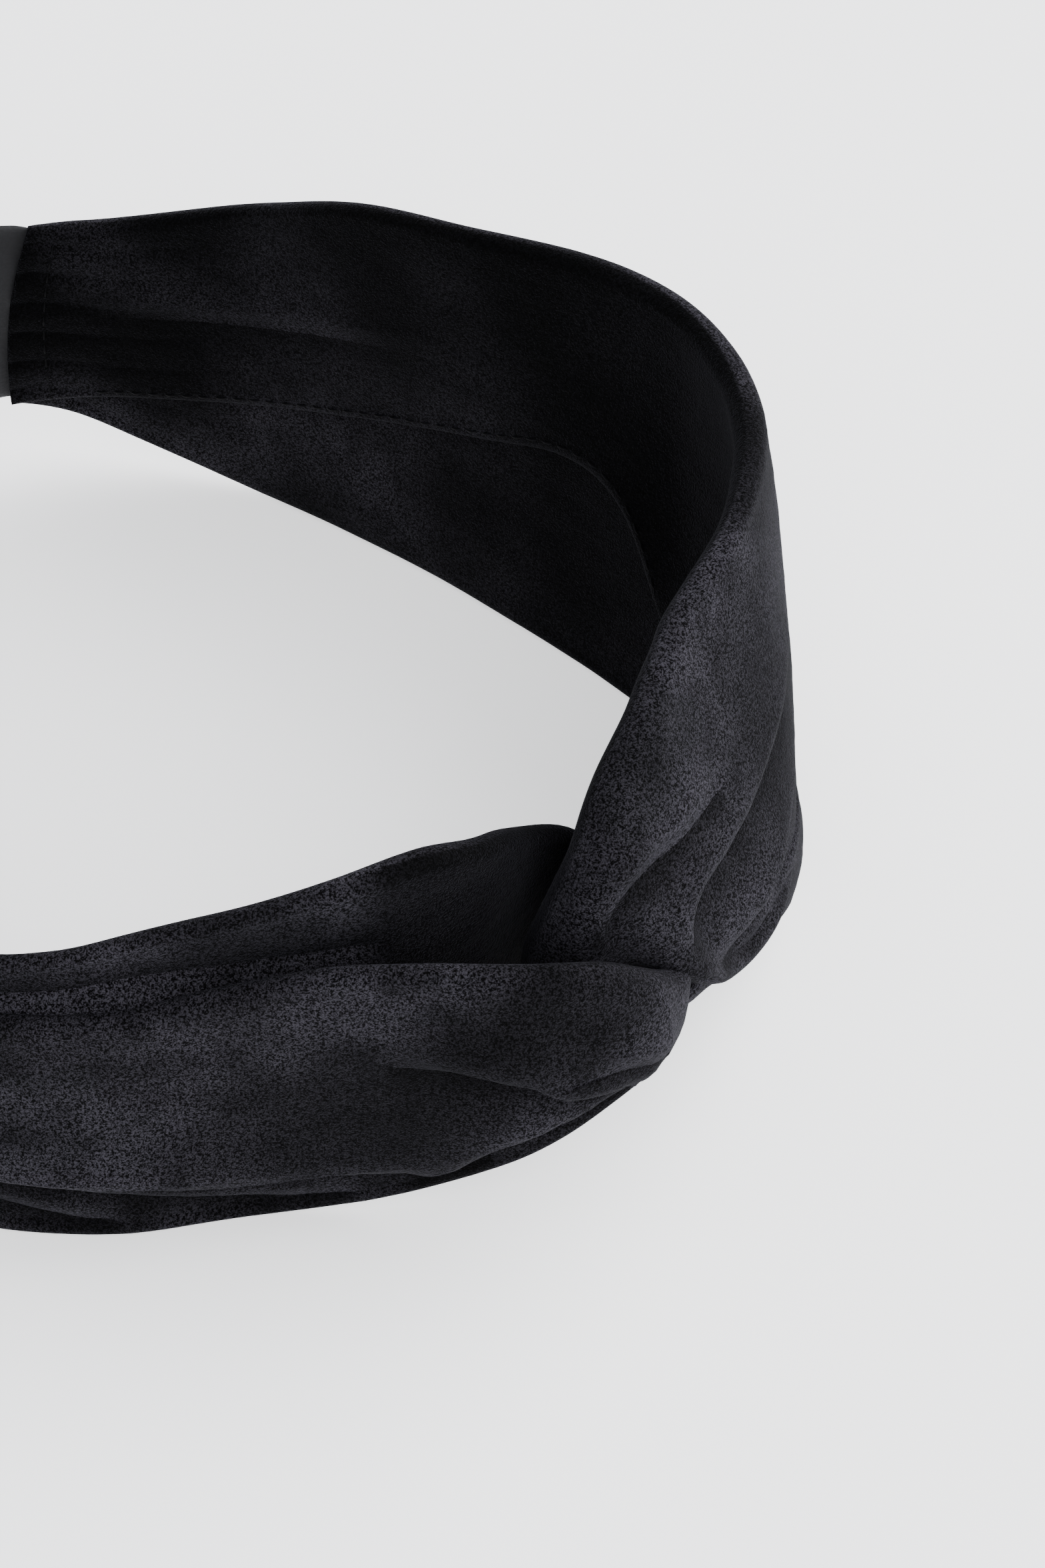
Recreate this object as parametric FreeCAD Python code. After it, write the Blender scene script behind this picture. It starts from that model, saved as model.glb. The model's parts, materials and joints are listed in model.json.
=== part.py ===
import FreeCAD, Part
import math
import os

# Velvet twist headband standing on its lower edge.  Millimetres, +Z up.
# The twist faces -Y, the elastic is at +Y, the origin is on the ground under
# the middle of the loop.  Two velvet strips are each folded round the other:
# the right strip is bunched into an upright neck, the left strip turns round it.
# Each strip has a lower leg lying outside and an upper leg lying inside.

os.makedirs("parts", exist_ok=True)

Vec = FreeCAD.Vector

# ---- driving dimensions ----
ply = 3.2                 # thickness of one leg of a strip, a flattened velvet tube
lap = 0.5                 # how far the two legs of one strip run into each other
band_height = 80.0        # tallest point of the loop
velvet_run = 219.0        # velvet from the middle of the twist to either joint
joint_bottom = 16.0       # velvet end at the elastic, lower edge
joint_top = 56.0          # velvet end at the elastic, upper edge
neck_radius = 11.0        # bunched middle of the right strip
eye_radius = 11.8         # hole in the left strip's turn
turn_radius = 15.4        # outside of the left strip's turn
turn_bottom = 25.0
turn_top = 45.0
casing_thick = 3.0        # knitted tube round the elastic
casing_bottom = 18.5
casing_top = 53.5
casing_tuck = 9.0         # how far the casing goes into each velvet end
elastic_thick = 1.0
elastic_bottom = 21.5
elastic_top = 50.5
slip = 0.3                # play left round pieces that slide or are tucked in
thread_radius = 0.5
station_step = 11.0       # spacing of the sections along a leg

twist = Vec(10, -81, 0)   # axis of the neck, seen from above
ring_points = [
    (10, -81), (36, -81.5), (58, -70.5), (72, -48), (77, -20), (75, 2),
    (69, 30), (60, 57), (43, 83), (23, 93), (0, 95), (-25, 89.5),
    (-44, 76), (-61, 58), (-73.5, 34), (-77, 8), (-73, -16),
    (-60, -39), (-45, -54.5), (-28, -70), (-10, -80),
]

# ---- the loop's centre line ----
ring = Part.BSplineCurve()
ring.interpolate([Vec(x, y, 0) for x, y in ring_points], PeriodicFlag=True)
girth = ring.length()
right_joint = velvet_run
left_joint = girth - velvet_run


def ring_at(s, out, z):
    """Point s mm round the loop from the twist, out mm outside its centre line."""
    u = ring.parameterAtDistance(s % girth, ring.FirstParameter)
    along = ring.tangent(u)[0]
    outward = Vec(along.y, -along.x, 0)
    spot = ring.value(u) + outward * out
    return Vec(spot.x, spot.y, z)


def blend(rows, s):
    """Smoothly interpolated values of the rows (s, value, value, ...) at s."""
    last = len(rows) - 2
    k = max(i for i in range(last + 1) if i == 0 or rows[i][0] <= s)
    before = rows[max(k - 1, 0)]
    here = rows[k]
    there = rows[k + 1]
    after = rows[min(k + 2, last + 1)]
    gap = there[0] - here[0]
    t = min(max((s - here[0]) / gap, 0.0), 1.0)
    values = []
    for column in range(1, len(here)):
        step = there[column] - here[column]
        enter = (there[column] - before[column]) / (there[0] - before[0]) * gap
        leave = (after[column] - here[column]) / (after[0] - here[0]) * gap
        value = here[column] + enter * t
        value += (3 * step - 2 * enter - leave) * t ** 2
        value += (enter + leave - 2 * step) * t ** 3
        values.append(value)
    return values


def stations(first, last):
    count = max(2, round(abs(last - first) / station_step))
    return [first + (last - first) * i / count for i in range(count + 1)]


def ribbon(places, shape_at, lean_at):
    """Loft of upright sections; shape_at(s) gives outset, bottom, top, thickness."""
    wires = []
    for s in places:
        outset, bottom, top, thick = shape_at(s)
        lean = lean_at(s) / band_height
        corners = [
            ring_at(s, outset - thick / 2 - lean * bottom, bottom),
            ring_at(s, outset + thick / 2 - lean * bottom, bottom),
            ring_at(s, outset + thick / 2 - lean * top, top),
            ring_at(s, outset - thick / 2 - lean * top, top),
        ]
        wires.append(Part.makePolygon(corners + corners[:1]))
    return Part.makeLoft(wires, True, False)


def upright(s):
    return 0.0


# ---- legs: (s, outset, bottom, top, thickness) ----
layer = (ply - lap) / 2   # outset of a leg lying against its other leg
under = -1.0              # below the ground, trimmed flat later

right_lower = [
    (-5, 0, 3, 20, 14), (16, 0.5, 2, 20, 9), (27, 1, under, 32, 5),
    (40, layer, under, 40, ply), (64, layer, under, 44, ply),
    (90, layer, under, 49, ply), (140, layer, under, 51, ply),
    (165, layer, under, 52, ply), (192, layer, 5, 51, ply),
    (velvet_run, layer, joint_bottom, joint_top - 4, ply),
]
right_upper = [
    (-5, 0, 50, 71, 14), (16, -0.5, 50, 74, 9), (27, -1, 40, 76, 5),
    (40, -layer, 28, 78, ply), (64, -layer, 27, 80, ply),
    (90, -layer, 36, 80, ply), (115, -layer, 43, 80, ply),
    (140, -layer, 43, 80, ply), (165, -layer, 33, 76, ply),
    (192, -layer, 25, 66, ply),
    (velvet_run, -layer, joint_bottom + 4, joint_top, ply),
]
right_lean = [(0, 0), (27, 2), (45, 6), (70, 9), (92, 5), (115, 1), (220, 0)]

left_lower = [
    (-2, 14, 24, 46, 3.6), (10, 11.8, 18, 49, 3.6), (22, 7, 12, 52, 3.4),
    (40, layer, 5, 56, ply), (62, layer, 1, 57, ply),
    (84, layer, under, 56, ply), (110, layer, under, 52, ply),
    (140, layer, under, 50, ply), (165, layer, 1, 49, ply),
    (192, layer, 7, 50, ply),
    (velvet_run, layer, joint_bottom, joint_top - 4, ply),
]
left_upper = [
    (-2, -14, 24, 48, 3.6), (10, -12.8, 27, 62, 3.6), (22, -7, 28, 71, 3.4),
    (40, -layer, 27, 70, ply), (62, -layer, 25, 66, ply),
    (84, -layer, 22, 62, ply), (110, -layer, 22, 64, ply),
    (140, -layer, 24, 66, ply), (165, -layer, 24, 65, ply),
    (192, -layer, 20, 60, ply),
    (velvet_run, -layer, joint_bottom + 4, joint_top, ply),
]


def leg(rows, side, lean_at):
    """A strip's leg; side is 1 for the right half of the loop, -1 for the left."""
    places = stations(rows[0][0], rows[-1][0])
    return ribbon(
        [side * s for s in places],
        lambda s: blend(rows, side * s),
        lean_at,
    )


def lean_right(s):
    return blend(right_lean, s)[0]


def trimmed(shape):
    """The part of a shape above the ground, so the lower edge is flat."""
    reach = 2 * band_height
    above = Part.makeBox(2 * reach, 2 * reach, reach, Vec(-reach, -reach, 0))
    return shape.common(above).Solids[0]


def casing_run(thick, bottom, top, tuck):
    places = stations(right_joint - tuck, left_joint + tuck)
    return ribbon(places, lambda s: (0, bottom, top, thick), upright)


def join_stitches(s, play):
    """Sewing that holds the casing in a velvet end, as one run of thread."""
    face = ply - lap / 2
    radius = thread_radius + play
    low = casing_bottom + 3 - play
    high = casing_top - 3 + play
    shape = None
    for out in (face, -face):
        rod = Part.makeCylinder(radius, high - low, ring_at(s, out, low))
        shape = rod if shape is None else shape.fuse(rod)
    stitches = 6
    for k in range(stitches):
        z = casing_bottom + 5 + (casing_top - casing_bottom - 10) * k / (stitches - 1)
        start = ring_at(s, -face, z)
        along = ring_at(s, face, z) - start
        pin = Part.makeCylinder(radius * 0.8, along.Length, start, along)
        shape = shape.fuse(pin)
    return shape.removeSplitter().Solids[0]


def seam_thread(rows, side, lean_at, first, last):
    """Slip stitches along the lower edge of the upper leg, inside the loop."""
    clear = thread_radius + 3 * slip
    spots = []
    for s in stations(first, last):
        z = blend(rows, s)[1] - clear
        tilt = lean_at(side * s) * z / band_height
        spots.append(ring_at(side * s, -lap / 2 - clear - tilt, z))
    curve = Part.BSplineCurve()
    curve.interpolate(spots)
    along = curve.tangent(curve.FirstParameter)[0]
    ring_edge = Part.makeCircle(thread_radius, spots[0], along)
    spine = Part.Wire(curve.toShape())
    return spine.makePipeShell([Part.Wire(ring_edge)], True, False)


def right_strip():
    shape = leg(right_lower, 1, lean_right)
    shape = shape.fuse(leg(right_upper, 1, lean_right))
    neck = Part.makeCylinder(neck_radius, 66, Vec(twist.x, twist.y, 4))
    return trimmed(shape.fuse(neck))


def left_strip():
    shape = leg(left_lower, -1, upright)
    shape = shape.fuse(leg(left_upper, -1, upright))
    height = turn_top - turn_bottom
    foot = Vec(twist.x, twist.y, turn_bottom)
    turn = Part.makeCylinder(turn_radius, height, foot)
    turn = turn.cut(Part.makeCylinder(eye_radius, height, foot))
    keep = Part.makeBox(
        2 * turn_radius, 3 * turn_radius, height,
        Vec(twist.x - 2, twist.y - 1.5 * turn_radius, turn_bottom),
    )
    return trimmed(shape.fuse(turn.common(keep)))


def save(shape, node):
    shape.exportStep(os.path.join("parts", node + ".step"))
    box = shape.BoundBox
    print(node, shape.isValid(), len(shape.Solids), len(shape.Faces), round(shape.Volume))
    print("   ", [round(v, 2) for v in (box.XMin, box.YMin, box.ZMin)],
          [round(v, 2) for v in (box.XMax, box.YMax, box.ZMax)])


# ---- build ----
sew_in = 5.0              # stitches this far back from each velvet end
right_sew = right_joint - sew_in
left_sew = left_joint + sew_in
pocket = casing_run(casing_thick + 2 * slip, casing_bottom - slip, casing_top + slip, casing_tuck + slip)

casing = casing_run(casing_thick, casing_bottom, casing_top, casing_tuck)
channel = casing_run(elastic_thick + 2 * slip, elastic_bottom - slip, elastic_top + slip, casing_tuck + 1)
casing = casing.cut(channel)
elastic = casing_run(elastic_thick, elastic_bottom, elastic_top, casing_tuck - 0.5)

right = right_strip().cut(pocket)
left = left_strip().cut(pocket)

play = 0.12
for s in (right_sew, left_sew):
    seat = join_stitches(s, play)
    casing = casing.cut(seat)
    elastic = elastic.cut(seat)
right = right.cut(join_stitches(right_sew, play))
left = left.cut(join_stitches(left_sew, play))

save(right, "right_velvet_strip")
save(left, "left_velvet_strip")
save(casing, "elastic_casing")
save(elastic, "elastic")
save(join_stitches(right_sew, 0.0), "right_join_thread")
save(join_stitches(left_sew, 0.0), "left_join_thread")
save(seam_thread(right_upper, 1, lean_right, 50, 208), "right_seam_thread")
save(seam_thread(left_upper, -1, upright, 50, 208), "left_seam_thread")
print("girth", round(girth, 1))
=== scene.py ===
import json
import math

import bmesh
import bpy
import numpy as np
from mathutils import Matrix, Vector, noise


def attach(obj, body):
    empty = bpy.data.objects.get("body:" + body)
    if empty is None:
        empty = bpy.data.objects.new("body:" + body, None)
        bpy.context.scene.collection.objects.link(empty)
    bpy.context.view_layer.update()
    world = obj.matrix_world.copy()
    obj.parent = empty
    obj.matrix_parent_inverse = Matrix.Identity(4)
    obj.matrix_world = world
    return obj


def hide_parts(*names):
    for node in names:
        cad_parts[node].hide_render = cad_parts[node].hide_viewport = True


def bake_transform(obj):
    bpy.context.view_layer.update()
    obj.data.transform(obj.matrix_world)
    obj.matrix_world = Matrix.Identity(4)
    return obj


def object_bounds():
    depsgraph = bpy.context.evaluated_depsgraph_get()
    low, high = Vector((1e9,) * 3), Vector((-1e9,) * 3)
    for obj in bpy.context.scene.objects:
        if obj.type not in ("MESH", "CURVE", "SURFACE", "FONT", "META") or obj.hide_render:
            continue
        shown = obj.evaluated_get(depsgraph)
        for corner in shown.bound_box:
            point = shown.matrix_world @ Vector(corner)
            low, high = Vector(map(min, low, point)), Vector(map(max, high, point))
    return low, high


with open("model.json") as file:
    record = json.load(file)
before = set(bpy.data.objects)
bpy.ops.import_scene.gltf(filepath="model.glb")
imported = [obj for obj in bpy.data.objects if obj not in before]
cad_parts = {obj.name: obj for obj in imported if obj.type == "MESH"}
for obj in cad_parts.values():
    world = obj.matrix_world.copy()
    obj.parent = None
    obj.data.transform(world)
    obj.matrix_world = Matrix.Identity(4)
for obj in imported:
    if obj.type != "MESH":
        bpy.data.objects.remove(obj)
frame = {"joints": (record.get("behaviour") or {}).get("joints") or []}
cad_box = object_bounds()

# Looks of a velvet twist headband.  Lengths are in millimetres in the part's own
# frame and become metres where a mesh is made.  A place on the loop is (s, out, z):
# s mm round it from the twist, positive to the right, out mm outside its centre
# line and z mm above the ground.
MM = 0.001
RIGHT = "right_half"
LEFT = "left_half"
knot = Vector(frame["joints"][0]["pos_m"]) / MM       # axis of the bunched neck
velvet_run = 219.0       # velvet from the middle of the twist to either joint

# ---- the loop's centre line, seen from above ----
ring_points = [
    (10, -81), (36, -81.5), (58, -70.5), (72, -48), (77, -20), (75, 2),
    (69, 30), (60, 57), (43, 83), (23, 93), (0, 95), (-25, 89.5),
    (-44, 76), (-61, 58), (-73.5, 34), (-77, 8), (-73, -16),
    (-60, -39), (-45, -54.5), (-28, -70), (-10, -80),
]


def closed_curve(points, per_span):
    """Dense points of a smooth closed curve through the points."""
    p = np.array(points, float)
    t = np.linspace(0, 1, per_span, endpoint=False)[:, None]
    spans = []
    for k in range(len(p)):
        a, b, c, d = (p[(k + j) % len(p)] for j in (-1, 0, 1, 2))
        spans.append(
            b + 0.5 * t * (c - a + t * (2 * a - 5 * b + 4 * c - d + t * (3 * (b - c) + d - a)))
        )
    return np.vstack(spans + [p[:1]])


ring = closed_curve(ring_points, 80)
ring_run = np.concatenate([[0], np.cumsum(np.linalg.norm(np.diff(ring, axis=0), axis=1))])
girth = ring_run[-1]
ring_along = np.gradient(ring, ring_run, axis=0)
ring_along /= np.linalg.norm(ring_along, axis=1)[:, None]


def ring_at(s, out, z):
    """Points s round the loop from the twist, out beyond its line and z up."""
    s = np.mod(s, girth)
    x = np.interp(s, ring_run, ring[:, 0])
    y = np.interp(s, ring_run, ring[:, 1])
    ax = np.interp(s, ring_run, ring_along[:, 0])
    ay = np.interp(s, ring_run, ring_along[:, 1])
    return np.stack([x + ay * out, y - ax * out, z + 0 * x], axis=-1)


def through(places, values, wanted):
    """Smooth curve through values given at places, read at the wanted places."""
    places = np.asarray(places, float)
    values = np.asarray(values, float)
    slope = np.empty_like(values)
    slope[1:-1] = (values[2:] - values[:-2]) / (places[2:] - places[:-2])[:, None]
    slope[0] = (values[1] - values[0]) / (places[1] - places[0])
    slope[-1] = (values[-1] - values[-2]) / (places[-1] - places[-2])
    k = np.clip(np.searchsorted(places, wanted) - 1, 0, len(places) - 2)
    gap = (places[k + 1] - places[k])[:, None]
    t = (np.clip(wanted, places[0], places[-1])[:, None] - places[k][:, None]) / gap
    a, b = values[k], values[k + 1]
    return (
        a * (1 + 2 * t) * (1 - t) ** 2 + b * t ** 2 * (3 - 2 * t)
        + gap * slope[k] * t * (1 - t) ** 2 - gap * slope[k + 1] * t ** 2 * (1 - t)
    )


def unit(v):
    return v / np.maximum(np.linalg.norm(v, axis=-1, keepdims=True), 1e-9)


def wander(points, scale, seed):
    """Smooth noise of about -1 to 1 at each point; scale is its size in mm."""
    flat = points.reshape(-1, 3) / scale + seed * 17.3
    return np.array([noise.noise(p) for p in flat]).reshape(points.shape[:-1])


# ---- a velvet strip: a flattened tube that follows two edges ----
EDGE = 7                 # points round each rolled edge
FLAT = 96                # points across each face between the edges
STEP = 1.25              # spacing of the sections along a strip
LIP = 4.6                # width of the rolled lip of a fold
LIP_FADE = 11.0          # how far a fold's lip takes to sink back into the face
VALLEY = 7.0             # width of the hollow that a fold lies over


def spread(knots, count):
    """count places across each section from its first knot to its last, crowded at the knots."""
    inner = knots.shape[1] - 2
    ease = np.linspace(0, inner + 1, count)
    k = np.minimum(ease.astype(int), inner)
    t = ease - k
    t = 0.35 * t + 0.65 * t * t * (3 - 2 * t)
    return knots[:, k] + (knots[:, k + 1] - knots[:, k]) * t


def fold_shift(y, at, lift, reach, deepest):
    """Outward and sideways moves that turn the line y = at into a lapped, rolled fold."""
    side = np.where(reach < 0, -1.0, 1.0)
    d = (y - at) * side
    above = np.maximum(-d, 0)
    below = np.maximum(d, 0)
    valley = np.minimum(0.8 * lift, deepest)
    roll = np.clip(above / LIP, 0, 1)
    roll = roll * roll * (3 - 2 * roll)
    lip = lift * 1.3 * np.exp(-above / LIP_FADE) * roll - valley * (1 - roll)
    out = np.where(d <= 0, lip, -valley * np.exp(-(below / VALLEY) ** 1.3))
    across = np.where(d <= 0, np.exp(-(above / LIP) ** 2), -0.4 * np.exp(-(below / 3) ** 2))
    return out, across * reach


def velvet_texture(number, b, face, mid, seed):
    """Shallow waves of the cloth and gathers near its ends, in mm along its facing."""
    last = number.max()
    to_end = np.minimum(number, last - number)
    gathered = np.clip(1 - to_end / 4.5, 0, 1) ** 1.3
    lines = 5.0 if face == "front" else 6.0
    drift = 0.25 * np.sin(number * 1.3 + seed)
    gather = np.abs(np.sin(math.pi * (lines * b + drift) + seed)) ** 0.7 - 0.6
    soft = wander(mid, 26, seed + (face == "front") * 3)
    small = wander(mid * np.array([1, 1, 1.6]), 9, seed + 7)
    tuft = wander(mid, 1.5, seed + 9)
    return 0.75 * gathered * gather + 0.55 * soft + 0.16 * small + 0.09 * tuft


def strip_sections(rows):
    """Evenly spaced sections of a strip: their row numbers and smoothed rows."""
    rows = np.array(rows, float)
    middle = ring_at(*((rows[:, k] + rows[:, k + 3]) / 2 for k in range(3)))
    run = np.concatenate([[0], np.cumsum(np.linalg.norm(np.diff(middle, axis=0), axis=1))])
    places = np.linspace(0, run[-1], int(run[-1] / STEP))
    return np.interp(places, run, np.arange(len(rows))), through(run, rows, places)


def middle_at(table, wide, y):
    """Points midway through a strip's cloth, y mm across it from edge 1."""
    b = y / wide
    point = [table[:, k, None] * (1 - b) + table[:, k + 3, None] * b for k in range(3)]
    swell = np.sin(np.pi * np.clip(b, 0, 1))
    point[0] = point[0] + table[:, 8:9] * swell
    point[1] = point[1] + table[:, 7:8] * swell
    return ring_at(*point)


def facing_at(table, wide, y):
    """Smoothed directions square to a strip's cloth."""
    along = unit(np.gradient(middle_at(table, wide, y), axis=0))
    across = unit(middle_at(table, wide, y + 0.5) - middle_at(table, wide, y - 0.5))
    n = unit(np.cross(along, across))
    for _ in range(3):
        n[1:-1] = unit(n[:-2] + n[1:-1] * 2 + n[2:])
    return n


def fold_spots(folds, face, number, wide):
    """Where each fold of a face runs: mm across, lift and reach at every section."""
    spots = []
    for line in (np.array(line, float) for where, line in folds if where == face):
        across, lift, reach = (np.interp(number, line[:, 0], line[:, k]) for k in (1, 2, 3))
        first, last = line[0, 0], line[-1, 0]
        lift = lift * np.interp(number, [first - 1, first, last, last + 1], [0, 1, 1, 0])
        spots.append((across[:, None] * wide, lift[:, None], reach[:, None]))
    return spots


def painted_fold_shade_and_highlight(y, at, reach):
    """Painted shade past a fold, in the hollow under its lip, and a painted highlight on the lip, as a
    change in how light the pile is drawn.
    """
    past = (y - at) * np.sign(reach)
    return np.where(past > 0, -0.85 * np.exp(-(past / 5) ** 2), 0.3 * np.exp(-((past + 3) / 4) ** 2))


def strip_face(table, number, folds, face, seed):
    """Points of one face of a strip, edge to edge, and the painted shade and highlight its folds put on the
    pile.
    """
    thick = table[:, 6:7]
    wide = np.linalg.norm(ring_at(*table[:, 0:3].T) - ring_at(*table[:, 3:6].T), axis=1)[:, None]
    radius = np.minimum(thick / 2, wide * 0.45)
    low, high = radius, wide - radius
    spots = fold_spots(folds, face, number, wide)
    knots = np.hstack([low] + [np.clip(s[0], low + 0.5, high - 0.5) for s in spots] + [high])
    flat = spread(np.sort(knots, axis=1), FLAT)
    turn = np.linspace(0, math.pi / 2, EDGE)[:-1]
    y = np.hstack([radius * (1 - np.cos(turn)), flat, wide - radius * (1 - np.cos(turn[::-1]))])
    rim = np.tile(np.sin(turn), (len(y), 1))
    height = np.hstack([rim, np.ones_like(flat), rim[:, ::-1]]) * thick / 2
    near_edge = np.clip(np.minimum(y, wide - y) / np.maximum(radius * 1.5, 2), 0, 1)
    out = np.zeros_like(y)
    shift = np.zeros_like(y)
    painted_shade_and_highlight = np.zeros_like(y)
    for at, lift, reach in spots:
        fade = np.clip(np.abs(lift) / 0.4, 0, 1)
        rise, slide = fold_shift(y, np.clip(at, low + 0.5, high - 0.5), lift, reach * fade, thick * 0.75)
        out += rise
        shift += slide
        # painted shade past each fold and painted highlight on its lip
        painted_shade_and_highlight += fade * painted_fold_shade_and_highlight(y, at, reach)
    middle = middle_at(table, wide, np.clip(y + shift * near_edge, 0, wide))
    n = facing_at(table, wide, y) * (1 if face == "front" else -1)
    out += velvet_texture(number[:, None], y / wide, face, middle, seed)
    return middle + n * (height + out * near_edge)[..., None], painted_shade_and_highlight


def pile_tone_and_painted_shade(points, lay_and_painted_shade, painted_shade_and_highlight, seed):
    """How light the pile is drawn at each point: how it lies and is crushed, with painted shade from the
    row values and the painted shade and highlight of the folds.
    """
    crushed = np.clip(1.8 * wander(points, 25, seed + 13), -0.4, 1)
    mottle = 1 + 0.65 * wander(points, 11, seed + 11) + 0.45 * wander(points, 4.5, seed + 12)
    patches = 1 + (0.4 + 2.8 * (1 - lay_and_painted_shade) ** 2) * crushed
    return lay_and_painted_shade * patches * mottle * np.clip(1 + painted_shade_and_highlight, 0.05, 1.5)


def all_round(front, back):
    """Rings round a strip, from its two faces."""
    return np.concatenate([front, back[:, -2:0:-1]], axis=1)


def make_strip(name, rows, folds, nap_and_painted_shade, seed):
    """Closed mesh of a strip.  Returns the object and its two grids of face points."""
    number, table = strip_sections(rows)
    nap_and_painted_shade = np.array(nap_and_painted_shade)
    faces = []
    lights = []
    for column, face in ((1, "front"), (2, "back")):
        points, painted_shade_and_highlight = strip_face(table, number, folds, face, seed)
        # row tone: the lie of the pile with painted shade in it
        lay_and_painted_shade = np.interp(number, nap_and_painted_shade[:, 0], nap_and_painted_shade[:, column])[:, None]
        faces.append(points)
        lights.append(pile_tone_and_painted_shade(points, lay_and_painted_shade, painted_shade_and_highlight, seed))
    obj = mesh_from_rings(name, all_round(*faces))
    # tone kept on each point: nap direction plus painted shade on inner faces, in the pocket by the neck
    # and past folds, and painted highlight on fold lips
    attribute = obj.data.attributes.new("nap_and_painted_shade", "FLOAT", "POINT")
    attribute.data.foreach_set("value", np.clip(all_round(*lights), 0, 1).ravel())
    return obj, faces[0], faces[1]


def smooth_object(name, verts, faces):
    """Object of a closed mesh given in mm, smooth and facing outwards."""
    mesh = bpy.data.meshes.new(name)
    mesh.from_pydata((np.array(verts) * MM).tolist(), [], faces)
    mesh.polygons.foreach_set("use_smooth", [True] * len(mesh.polygons))
    obj = bpy.data.objects.new(name, mesh)
    bpy.context.scene.collection.objects.link(obj)
    outward(obj)
    return obj


def tube_faces(count, n, first=0):
    """Faces of a closed tube of count sections of n points, numbered from first."""
    a = first + np.arange(count - 1)[:, None] * n
    j = np.arange(n)[None, :]
    k = (j + 1) % n
    sides = np.stack([a + j, a + k, a + n + k, a + n + j], axis=-1).reshape(-1, 4).tolist()
    start = list(range(first, first + n))[::-1]
    end = list(range(first + (count - 1) * n, first + count * n))
    return sides + [start, end]


def mesh_from_rings(name, around):
    """Closed tube whose sections are the rows of around, in mm."""
    count, n = around.shape[:2]
    return smooth_object(name, around.reshape(-1, 3), tube_faces(count, n))


def outward(obj):
    """Turns a closed mesh's faces outwards."""
    bm = bmesh.new()
    bm.from_mesh(obj.data)
    bmesh.ops.recalc_face_normals(bm, faces=bm.faces)
    bm.to_mesh(obj.data)
    bm.free()


# ---- the right strip: upper leg inside, bunched neck, lower leg outside ----
# each row is a section: edge 1 (s, out, z), edge 2 (s, out, z), thickness, belly, bow
# belly is how far the middle stands out, bow how far it runs on round the loop
right_rows = [
    (219, -1.3, 56, 226, -1.5, 18, 2.2, 0, 2),
    (214, -1.7, 57, 219, -1.9, 18.5, 2.8, 0, 2),
    (205, -1.8, 58.8, 208, -2.2, 20, 3.2, 0.3, 1),
    (194, -1.4, 62, 195, -2.4, 22, 3.4, 0.5, 0),
    (176, -1.6, 69, 176, -2.4, 26, 3.4, 0.3, 0),
    (158, -2.4, 76.5, 155, -2.4, 32, 3.4, 0, 0),
    (138, -1.0, 79.3, 134, -2.2, 38, 3.6, 0.3, 0),
    (120, 3.3, 80, 117, -2.2, 43, 4.2, 1, 0),
    (103, 6, 80.1, 104, -2.4, 40, 4.8, 2, 0),
    (89, 4.2, 80, 91, -2.4, 22, 5, 3, 0),
    (74, -0.8, 79.6, 74, -2.4, 17, 5, 4, 0),
    (61, -6.4, 79.4, 59, -0.4, 20, 4.8, 3.6, 0),
    (49, -10.4, 79, 46, 1.8, 21.5, 4.6, 3, 0),
    (38, -12.6, 78.4, 37, 4, 21.6, 4.6, 2.6, 0),
    (27, -12.8, 77.4, 29, 6.6, 22.4, 4.8, 2, 0),
    (17, -10, 76, 21, 8.8, 24, 5.2, 1.8, 0),
    (9, -6, 74, 14.5, 10.8, 26.8, 5.8, 1.8, 0),
    (2, -2.8, 71.5, 9.6, 12.2, 30, 6.8, 1.4, 0),
    (-4, 0, 68.5, 6.6, 12.6, 34.4, 8, 0.8, 0),
    (-8, 1.4, 64, 5, 11.2, 39, 10, 0, 0),
    (-11.5, 1, 57, 4.2, 8, 41, 12, 0, 0),
    (-14, 0.2, 49, 3.8, 4.5, 41, 13, 0, 0),
    (-15.5, -1, 41, 3.4, 2.5, 38, 13, 0, 0),
    (-14.5, -1, 32, 3.4, 1.5, 32, 12.5, 0, 0),
    (-10, 0, 24, 4, 1, 26, 11, 0, 0),
    (-4, 2, 18, 5, 3, 22.5, 9, 0, 0),
    (1, 5, 21, 6, 7, 27, 7, 0, 0),
    (4.6, 8, 25.4, 7, 9.6, 32, 6, 0, 0),
    (9.6, 7.8, 25.6, 11, 9, 33, 6, 0, 0),
    (16.5, 6.6, 22.6, 18, 7.4, 32, 5.6, 0, 0),
    (24, 5, 18.6, 25, 5.4, 30, 5.2, 0, 0),
    (31, 3.4, 15.2, 31.5, 4, 28.5, 5.2, 0.3, 0),
    (38, 3.2, 11.2, 38, 3.4, 27, 4.4, 0.6, 0),
    (46, 2.4, 7, 46, 2.2, 26, 4, 1, 0),
    (54, 1.6, 3.4, 54, 1.2, 27, 3.6, 1, 0),
    (63, 1, 1, 62, 1, 29, 3.4, 1, 0),
    (75, -0.2, 0.3, 73, 1.4, 34, 3.2, 1.6, 0),
    (90, -2.6, 0.3, 88, 2.2, 42, 3.2, 2, 0),
    (112, -4.4, 0.3, 112, 2.4, 48, 3.2, 1.8, 0),
    (126, -3.6, 0.3, 126, 2.4, 49, 3.2, 1.6, 0),
    (145, -1.8, 0.3, 145, 2.2, 50, 3.2, 1, 0),
    (165, -0.2, 0.3, 165, 2.2, 51, 3.2, 0.6, 0),
    (181, 1, 0.8, 181, 2.2, 51, 3.2, 0.3, 0),
    (193, 1.6, 3.5, 193, 2, 51, 3.2, 0, 0),
    (204, 1.5, 7.5, 204, 1.9, 51.5, 3, 0, 1),
    (215, 1.4, 12.5, 213, 1.6, 52.5, 2.8, 0, 2),
    (225, 1.1, 16, 219, 1.2, 53, 2.2, 0, 2),
]

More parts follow.
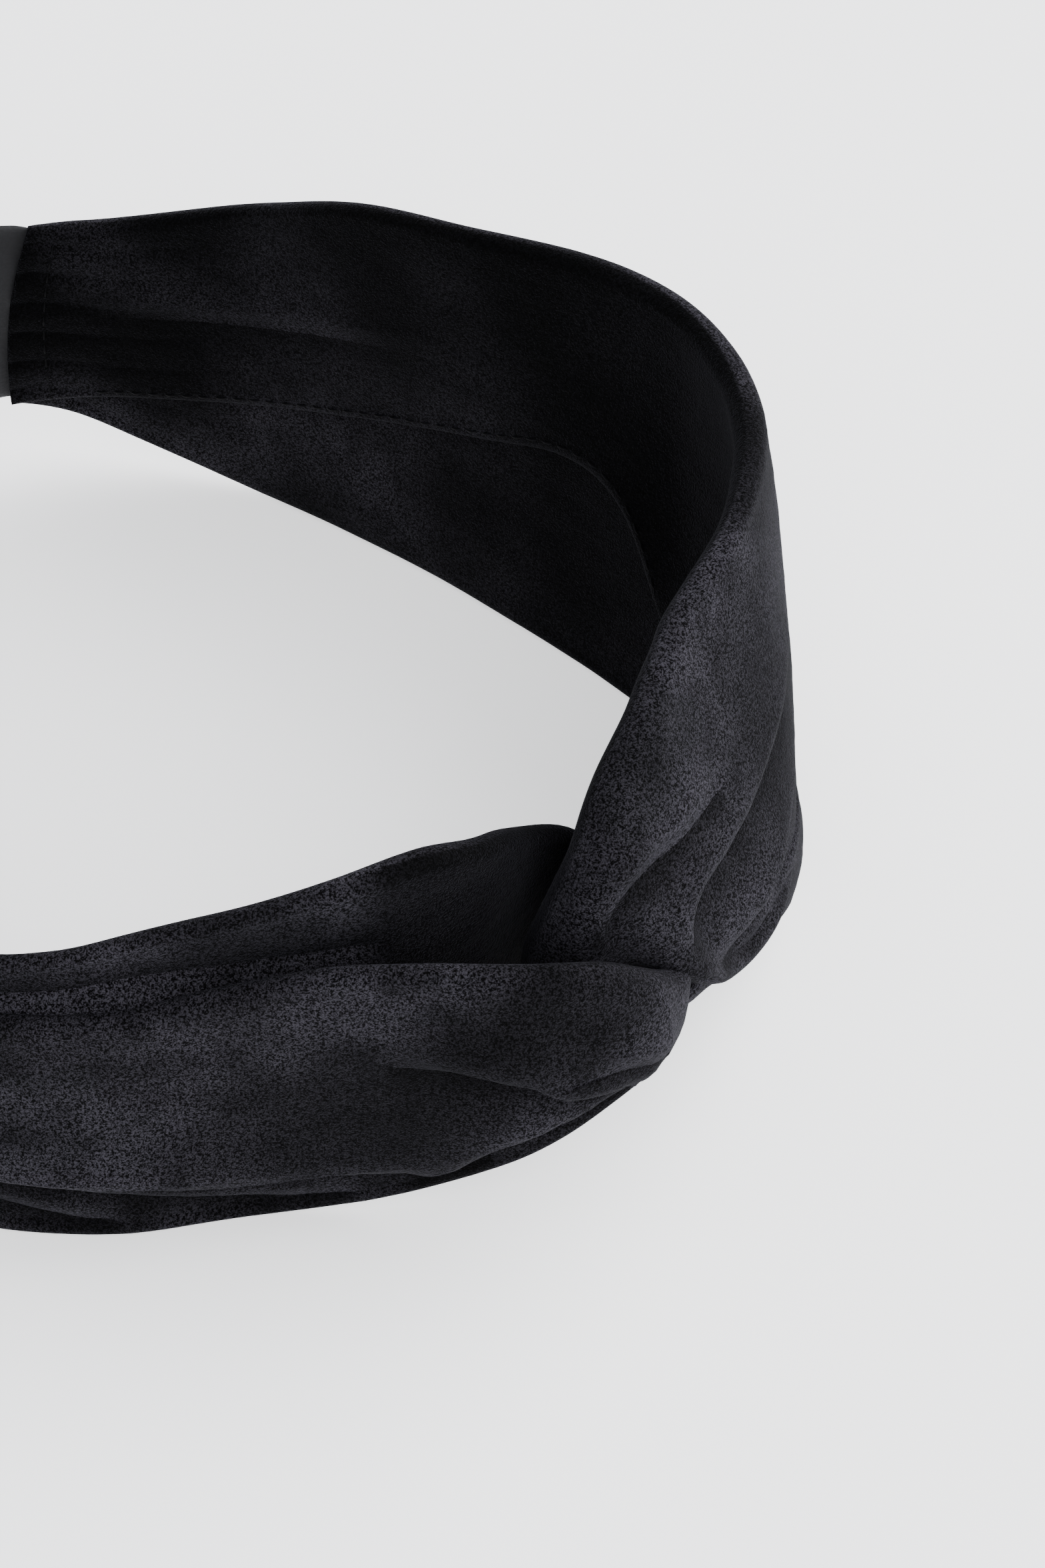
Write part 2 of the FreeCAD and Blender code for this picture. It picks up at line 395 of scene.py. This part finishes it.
# ---- the left strip: upper leg inside, turn round the neck, lower leg outside ----
left_rows = [
    (-219, -1.3, 56, -219, -1.5, 18, 2.2, 0, -3),
    (-213, -1.7, 57, -213, -1.9, 18.5, 2.8, 0, -2),
    (-204, -2, 58.5, -204, -2.2, 19.5, 3, 0, -1),
    (-190, -2.2, 61, -190, -2.4, 20.5, 3.2, 0, 0),
    (-165, -2, 65, -165, -2.2, 23, 3.4, 0.4, 0),
    (-140, -0.8, 65, -140, -1.2, 24, 3.4, 0.3, 0),
    (-118, 1, 61.5, -118, 0.6, 22, 3.4, 0.3, 0),
    (-104, 2.4, 59, -104, 2, 21, 3.4, 0.3, 0),
    (-93, 2.4, 58, -93, 2, 21, 3.4, 0.4, 0),
    (-83, 1.6, 59.5, -83, 1.2, 21, 3.4, 0.4, 0),
    (-73, 0.5, 62, -73, 0.1, 21, 3.4, 0.4, 0),
    (-58, -1, 65.2, -58, -1.4, 22, 3.6, 0, 0),
    (-43, -2.6, 69.2, -43, -2.6, 23, 4, -0.5, 0),
    (-31, -4.8, 70.2, -31, -4.2, 22, 4.4, -1, 0),
    (-21, -7.4, 66.4, -21, -6.6, 20, 4.4, -1, 0),
    (-12, -9.8, 62, -12, -9, 18, 4.4, -0.5, 0),
    (-4, -11.4, 55.4, -4, -11, 19, 4.4, 0, 0),
    (2, -10.8, 50, 2, -10.4, 24, 4, 0, 0),
    (6, -6.4, 45, 6, -6, 28, 4, 0, 0),
    (7.6, 0, 43.5, 7.4, 0.5, 29.5, 4, 0, 0),
    (6.8, 6.2, 42, 6, 6.3, 29.5, 4.4, 0, 0),
    (3.8, 11, 41, 2.8, 10.6, 30, 5, 0, 0),
    (-1, 13.6, 42.4, -2, 12.6, 26.2, 5.4, 0.6, 0),
    (-7, 13.8, 47.4, -7.5, 12.6, 22.4, 5.4, 1.2, 0),
    (-13.5, 12, 53.3, -13.5, 10.8, 18.8, 5, 1.5, 0),
    (-21, 9.2, 57, -21, 8.2, 14, 4.4, 1.7, 0),
    (-29, 6.3, 58, -29, 5.4, 9, 4, 1.4, 0),
    (-37, 4.2, 57.7, -37, 3.6, 5.4, 3.8, 1.2, 0),
    (-46, 3, 57, -46, 2.2, 2.2, 3.6, 1, 0),
    (-58, 3, 54, -58, 2.4, 0.3, 3.6, 0.8, 0),
    (-72, 4.4, 51.3, -72, 4.6, 0.3, 3.6, 0.6, 0),
    (-84, 5.4, 50.2, -84, 6, 0.3, 3.6, 0.5, 0),
    (-95, 6.3, 50, -95, 7, 0.3, 3.5, 0.4, 0),
    (-106, 6, 50, -106, 6.8, 0.3, 3.4, 0.3, 0),
    (-120, 4.2, 50, -120, 4.4, 0.3, 3.4, 0.3, 0),
    (-140, 2.6, 49, -140, 2.6, 0.3, 3.2, 0.3, 0),
    (-165, 2.1, 49, -165, 2.1, 1, 3.2, 0, 0),
    (-190, 1.9, 50, -190, 1.9, 6, 3.2, 0, 0),
    (-205, 1.6, 51, -205, 1.6, 10.5, 3, 0, -1),
    (-213, 1.4, 52, -213, 1.4, 13.5, 2.8, 0, -2),
    (-219, 1.1, 53, -219, 1.2, 16, 2.2, 0, -3),
]

# each fold: the face it is on, then (row, place across, lift, reach) along it
# row counts the rows above from 0, and place goes from 0 at edge 1 to 1 at edge 2
# lift is how far the lip stands up, reach how far it laps over towards edge 2 (both mm)
right_folds = [
    ("front", [(11, 0.46, 0, 1), (12.5, 0.51, 1.3, 1.8), (13.9, 0.53, 2.3, 2.6), (15.2, 0.54, 2.8, 2.8),
               (16.6, 0.57, 2.6, 2.6), (17.4, 0.66, 1.3, 1.6), (18, 0.76, 0, 1)]),
    ("front", [(11.6, 0.7, 0, 1), (12.8, 0.77, 1.6, 2), (13.9, 0.81, 3, 2.9), (14.8, 0.83, 3.5, 3.3),
               (15.6, 0.85, 2.6, 2.8), (16.4, 0.87, 1, 1.5), (17, 0.89, 0, 1)]),
    ("front", [(15, 0.38, 0, 1), (15.9, 0.36, 1, 1), (16.9, 0.34, 1.6, 1.5), (18.5, 0.28, 1.9, 1.8),
               (19.8, 0.2, 1.2, 1.3), (20.6, 0.18, 0, 1)]),
    ("back", [(1.8, 0.52, 0, 0.5), (3, 0.55, 0.8, 0.6), (4.5, 0.6, 0.6, 0.6), (6, 0.64, 0, 0.5)]),
]
left_folds = [
    ("front", [(22.4, 0.8, 0.6, 1), (23.2, 0.76, 2, 2.2), (24.1, 0.65, 3.2, 2.9), (24.7, 0.57, 3.8, 3.3),
               (25.1, 0.47, 3.7, 3.3), (25.9, 0.41, 2.6, 2.6), (26.6, 0.37, 1.1, 1.6), (27.3, 0.34, 0, 1)]),
    ("front", [(22.6, 0.6, 0.3, 1), (23, 0.58, 1.4, 1.5), (23.8, 0.5, 1.7, 1.8), (24.4, 0.46, 0.5, 1),
               (24.9, 0.43, 0, 1)]),
    ("front", [(22.6, 0.96, 0.5, 1), (23.3, 0.91, 2.3, 2.2), (24, 0.84, 3.2, 2.9), (24.8, 0.8, 3.3, 3.1),
               (25.4, 0.82, 2.6, 2.6), (26.1, 0.86, 1.3, 1.8), (26.9, 0.9, 0, 1)]),
    ("front", [(25.4, 0.93, 0, 1), (26, 0.91, 1.4, 1.6), (27.3, 0.83, 2.8, 2.6), (29.3, 0.74, 3.8, 3),
               (30.9, 0.64, 3.8, 3), (32, 0.63, 3.4, 2.8), (34, 0.65, 1.8, 2), (36, 0.68, 0, 1)]),
    ("front", [(27.6, 0.96, 0, 1), (28.6, 0.93, 1.4, 1.5), (29.3, 0.89, 2.2, 2), (30.1, 0.83, 2.6, 2.2),
               (30.9, 0.77, 2.6, 2.2), (31.9, 0.74, 2.2, 2), (33, 0.75, 0.8, 1), (34, 0.76, 0, 1)]),
    ("front", [(30.4, 0.95, 0, 1), (31, 0.92, 1.4, 1.5), (31.9, 0.87, 1.7, 1.8), (33, 0.84, 1.2, 1.3),
               (35, 0.84, 0, 1)]),
    ("back", [(6, 0.16, 0, 1), (8, 0.18, 1.3, -1.5), (10, 0.22, 2.2, -2.2), (11.5, 0.28, 1.6, -1.8),
              (12.6, 0.31, 0, -1)]),
]


# how light the pile is drawn, 0 to 1: row, on the front face, on the back face; partly the nap's direction,
# partly painted shade, darkest on the inner faces and in the pocket beside the neck
right_nap_and_painted_shade = [
    (0, 0.6, 0.15), (2, 0.6, 0.18), (4, 0.6, 0.15), (6, 0.6, 0.08), (8, 0.46, 0), (12, 0.46, 0),
    (14, 0.5, 0.1), (17, 0.65, 0.1), (20, 0.68, 0.1), (28, 0.6, 0.1), (36, 0.6, 0), (40, 0.6, 0.12),
    (42, 0.6, 0.3), (46, 0.6, 0.3),
]
left_nap_and_painted_shade = [
    (0, 0.6, 0.6), (6, 0.6, 0.95), (8, 0.6, 0.9), (10, 0.6, 0.7), (11.5, 0.5, 0.35), (12.5, 0.4, 0.03),
    (16, 0.4, 0), (20, 0.5, 0.3), (23, 0.8, 0.4), (24.5, 0.5, 0.4), (26, 0.36, 0.5), (28, 0.46, 0.5),
    (30, 0.75, 0.5), (40, 0.8, 0.5),
]

right_strip, right_front, right_back = make_strip(
    "right_strip", right_rows, right_folds, right_nap_and_painted_shade, 1.0)
left_strip, left_front, left_back = make_strip(
    "left_strip", left_rows, left_folds, left_nap_and_painted_shade, 2.0)
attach(right_strip, RIGHT)
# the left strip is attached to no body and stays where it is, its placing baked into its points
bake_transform(left_strip)
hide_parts("right_velvet_strip")
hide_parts("left_velvet_strip")


# ---- the elastic and its knitted casing ----
BAND_SECTIONS = 300
BAND_POINTS = 64
joint_gap = np.array([velvet_run, girth - velvet_run])   # the two velvet ends
band_tuck = 9.0          # how far casing and elastic go into each velvet end
band_pinch = 2.0         # how much lower and higher the tucked ends are pulled in
rib_pitch = 1.2
rib_depth = 0.08


def rounded(wave, power):
    """A sine or cosine made squarer, for a section with rounded corners."""
    return np.sign(wave) * np.abs(wave) ** power


def make_band(name, bottom, top, thick, texture):
    """Flat band from one velvet end to the other, tucked into both."""
    places = np.linspace(joint_gap[0] - band_tuck, joint_gap[1] + band_tuck, BAND_SECTIONS)
    turn = np.linspace(0, 2 * math.pi, BAND_POINTS, endpoint=False)
    across = rounded(np.cos(turn), 0.55)
    depth = rounded(np.sin(turn), 0.7)
    s = places[:, None] + 0 * turn
    bare = np.clip(np.minimum(s - joint_gap[0] + 3, joint_gap[1] + 3 - s) / 8, 0, 1)
    z = (bottom + top) / 2 + across * ((top - bottom) / 2 - band_pinch * (1 - bare))
    out, rise = texture(s, z, depth, bare)
    return mesh_from_rings(name, ring_at(s, depth * thick / 2 + out, z + rise))


def ruched(s, z, depth, bare):
    """Soft crosswise ruches of a casing that is longer than its elastic."""
    wave = wander(np.stack([s, z * 0.16, 0 * s + 3], axis=-1), 5.2, 4)
    fine = wander(np.stack([s, z * 0.35, 0 * s], axis=-1), 2.3, 6)
    edge = wander(np.stack([s, 0 * z, 0 * z], axis=-1), 6, 5)
    return bare * (0.7 * depth + 0.9 * wave + 0.25 * fine), bare * 0.6 * edge


def ribbed(s, z, depth, bare):
    """Fine crosswise ribs of woven elastic."""
    return rib_depth * depth * np.sin(s * 2 * math.pi / rib_pitch), 0 * s


casing = make_band("casing", 18.5, 56, 2.2, ruched)
webbing = make_band("webbing", 21.5, 50.5, 0.8, ribbed)
for piece, node, slot in (
    (casing, "elastic_casing", "casing_knit"),
    (webbing, "elastic", "elastic_webbing"),
):
    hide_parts(node)
    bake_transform(piece)


# ---- stitches ----
STITCH_PITCH = 3.2
STITCH_LENGTH = 2.3
STITCH_SECTIONS = 7
THREAD_POINTS = 6
join_inset = 5           # sections from a velvet end to its join stitches
seam_share = 0.27        # how much of a strip's length its closing seam shows on


def stitch(points, facing, run, start):
    """Sections of one raised stitch that begins start mm along a line."""
    at = start + np.linspace(0, STITCH_LENGTH, STITCH_SECTIONS)
    line = np.stack([np.interp(at, run, points[:, k]) for k in range(3)], axis=-1)
    lift = unit(np.stack([np.interp(at, run, facing[:, k]) for k in range(3)], axis=-1))
    bow = np.sin(np.linspace(0, math.pi, STITCH_SECTIONS))[:, None]
    line = line + lift * (0.25 * bow - 0.1)
    side = unit(np.cross(np.gradient(line, axis=0), lift))
    radius = 0.1 + 0.12 * bow
    turn = np.linspace(0, 2 * math.pi, THREAD_POINTS, endpoint=False)
    return np.stack([line + radius * (side * math.cos(t) + lift * math.sin(t)) for t in turn], axis=1)


def sew(name, seams):
    """One object of stitches along lines on the cloth; seams is a list of (points, facing)."""
    verts = []
    faces = []
    for points, facing in seams:
        run = np.concatenate([[0], np.cumsum(np.linalg.norm(np.diff(points, axis=0), axis=1))])
        for start in np.arange(1.5, run[-1] - 2.5, STITCH_PITCH):
            faces.extend(tube_faces(STITCH_SECTIONS, THREAD_POINTS, len(verts)))
            verts.extend(stitch(points, facing, run, start).reshape(-1, 3))
    return smooth_object(name, verts, faces)


def across_line(face, section, sign):
    """Surface points and facing across a strip's face at one section."""
    rim = EDGE + 1
    points = face[section, rim:-rim]
    before = face[max(section - 2, 0), rim:-rim]
    after = face[min(section + 2, len(face) - 1), rim:-rim]
    return points, unit(np.cross(after - before, np.gradient(points, axis=0))) * sign


def along_line(face, column, first, last, sign):
    """Surface points and facing along a strip's face at one column."""
    points = face[first:last, column]
    across = face[first:last, column + 2] - face[first:last, column - 2]
    return points, unit(np.cross(np.gradient(points, axis=0), across)) * sign


threads = []
for side, body, front, back in (
    ("right", RIGHT, right_front, right_back),
    ("left", LEFT, left_front, left_back),
):
    last = len(front) - 1
    joins = [across_line(back, join_inset, -1), across_line(front, last - join_inset, 1)]
    seam_column = back.shape[1] - EDGE - 2
    seams = [along_line(back, seam_column, 2 * join_inset, int(last * seam_share), -1)]
    for kind, lines in (("join", joins), ("seam", seams)):
        thread = sew(side + "_" + kind + "_stitches", lines)
        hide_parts(side + "_" + kind + "_thread")
        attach(thread, body)
        threads.append(thread)


# ---- materials ----
def new_material(name):
    mat = bpy.data.materials.new(name)
    mat.use_nodes = True
    nodes = mat.node_tree.nodes
    return mat, nodes, mat.node_tree.links, nodes["Principled BSDF"]


def noise_node(nodes, links, where, scale, detail, rough=0.5):
    node = nodes.new("ShaderNodeTexNoise")
    node.inputs["Scale"].default_value = scale
    node.inputs["Detail"].default_value = detail
    node.inputs["Roughness"].default_value = rough
    links.new(where, node.inputs["Vector"])
    return node.outputs["Fac"]


def ramp_between(nodes, links, value, low, high, low_colour, high_colour):
    """Colours between two, as value goes from low to high."""
    node = nodes.new("ShaderNodeValToRGB")
    node.color_ramp.elements[0].position = low
    node.color_ramp.elements[0].color = (*low_colour, 1)
    node.color_ramp.elements[1].position = high
    node.color_ramp.elements[1].color = (*high_colour, 1)
    links.new(value, node.inputs[0])
    return node.outputs[0]


def product(nodes, links, first, second):
    node = nodes.new("ShaderNodeMath")
    node.operation = "MULTIPLY"
    links.new(first, node.inputs[0])
    links.new(second, node.inputs[1])
    return node.outputs[0]


def colour_product(nodes, links, first, second):
    node = nodes.new("ShaderNodeMixRGB")
    node.blend_type = "MULTIPLY"
    node.inputs["Fac"].default_value = 1
    links.new(first, node.inputs["Color1"])
    links.new(second, node.inputs["Color2"])
    return node.outputs[0]


def add_bump(nodes, links, shader, height, strength, distance):
    node = nodes.new("ShaderNodeBump")
    node.inputs["Strength"].default_value = strength
    node.inputs["Distance"].default_value = distance
    links.new(height, node.inputs["Height"])
    links.new(node.outputs[0], shader.inputs["Normal"])


def set_finish(shader, rough, specular, sheen=0.0, sheen_rough=0.5, tint=(1, 1, 1)):
    shader.inputs["Roughness"].default_value = rough
    shader.inputs["Specular IOR Level"].default_value = specular
    shader.inputs["Sheen Weight"].default_value = sheen
    shader.inputs["Sheen Roughness"].default_value = sheen_rough
    shader.inputs["Sheen Tint"].default_value = (*tint, 1)


def velvet():
    """Near-black pile: fine grain, a tone per point that is partly the nap's direction and partly painted
    shade and highlight, weak cool sheen.
    """
    mat, nodes, links, shader = new_material("velvet")
    place = nodes.new("ShaderNodeTexCoord").outputs["Object"]
    set_finish(shader, 0.95, 0.05, 0.11, 0.3, (0.23, 0.23, 0.28))
    tips = noise_node(nodes, links, place, 4400, 2, 0.6)
    clumps = noise_node(nodes, links, place, 2200, 1)
    grain = product(nodes, links, tips, clumps)
    speckle = ramp_between(nodes, links, grain, 0.17, 0.37, (0.05, 0.05, 0.05), (3.1, 3.1, 3.1))
    nap_and_painted_shade = nodes.new("ShaderNodeAttribute")
    nap_and_painted_shade.attribute_name = "nap_and_painted_shade"
    # pile colour from the per-point tone, painted shade and highlight included
    pile = ramp_between(
        nodes, links, nap_and_painted_shade.outputs["Fac"], 0, 1, (0.0004, 0.0004, 0.0005), (0.0112, 0.0105, 0.0130))
    links.new(colour_product(nodes, links, pile, speckle), shader.inputs["Base Color"])
    add_bump(nodes, links, shader, grain, 0.8, 0.0006)
    return mat


def knit():
    """Dark grey stretch knit with a fine grain."""
    mat, nodes, links, shader = new_material("knit")
    place = nodes.new("ShaderNodeTexCoord").outputs["Object"]
    set_finish(shader, 0.8, 0.3, 0.1, 0.5, (0.4, 0.4, 0.45))
    grain = noise_node(nodes, links, place, 1800, 2)
    colour = ramp_between(
        nodes, links, grain, 0, 1, (0.003, 0.003, 0.0035), (0.009, 0.009, 0.0105))
    links.new(colour, shader.inputs["Base Color"])
    add_bump(nodes, links, shader, grain, 0.3, 0.0003)
    return mat


def black_thread():
    """Black sewing thread, a little uneven in tone."""
    mat, nodes, links, shader = new_material("black_thread")
    place = nodes.new("ShaderNodeTexCoord").outputs["Object"]
    set_finish(shader, 0.6, 0.05)
    ply = noise_node(nodes, links, place, 3000, 1)
    colour = ramp_between(nodes, links, ply, 0.3, 0.7, (0.001, 0.001, 0.001), (0.003, 0.003, 0.004))
    links.new(colour, shader.inputs["Base Color"])
    return mat


for pieces, material in (
    ((right_strip, left_strip), velvet()),
    ((casing, webbing), knit()),
    (threads, black_thread()),
):
    for piece in pieces:
        piece.data.materials.append(material)


# ---- floor, light and camera ----
def plain_floor():
    bpy.ops.mesh.primitive_plane_add(size=30)
    floor = bpy.context.object
    floor.name = "floor"
    mat, _, _, shader = new_material("floor")
    shader.inputs["Base Color"].default_value = (0.92, 0.92, 0.93, 1)
    shader.inputs["Roughness"].default_value = 0.9
    shader.inputs["Emission Color"].default_value = (1, 1, 1, 1)
    shader.inputs["Emission Strength"].default_value = 0.8
    floor.data.materials.append(mat)


def pale_surroundings():
    world = bpy.data.worlds.new("studio")
    world.use_nodes = True
    background = world.node_tree.nodes["Background"]
    background.inputs["Color"].default_value = (0.93, 0.95, 1.0, 1)
    background.inputs["Strength"].default_value = 1.2
    bpy.context.scene.world = world


def soft_light(name, place, size, power):
    """Square light aimed at the middle of the loop."""
    light = bpy.data.objects.new(name, bpy.data.lights.new(name, "AREA"))
    light.data.size = size
    light.data.energy = power
    light.location = place
    light.rotation_euler = (-Vector(place)).to_track_quat("-Z", "Y").to_euler()
    bpy.context.scene.collection.objects.link(light)


def place_camera(azimuth, elevation, distance, target):
    away = Vector((
        math.sin(azimuth) * math.cos(elevation),
        -math.cos(azimuth) * math.cos(elevation),
        math.sin(elevation),
    ))
    camera = bpy.data.objects.new("camera", bpy.data.cameras.new("camera"))
    camera.data.lens = 85
    camera.location = target + away * distance
    camera.rotation_euler = (math.pi / 2 - elevation, 0, azimuth)
    bpy.context.scene.collection.objects.link(camera)
    bpy.context.scene.camera = camera


plain_floor()
pale_surroundings()
soft_light("key", (1.1, -0.35, 1.0), 1.6, 50)
soft_light("fill", (-0.6, -0.9, 1.0), 1.2, 14)
look_at = knot * MM + Vector((0.0106, 0.028, 0))
look_at.z = (cad_box[0][2] + cad_box[1][2]) / 2
place_camera(math.radians(-45), math.radians(48), 0.555, look_at)

bpy.context.view_layer.update()
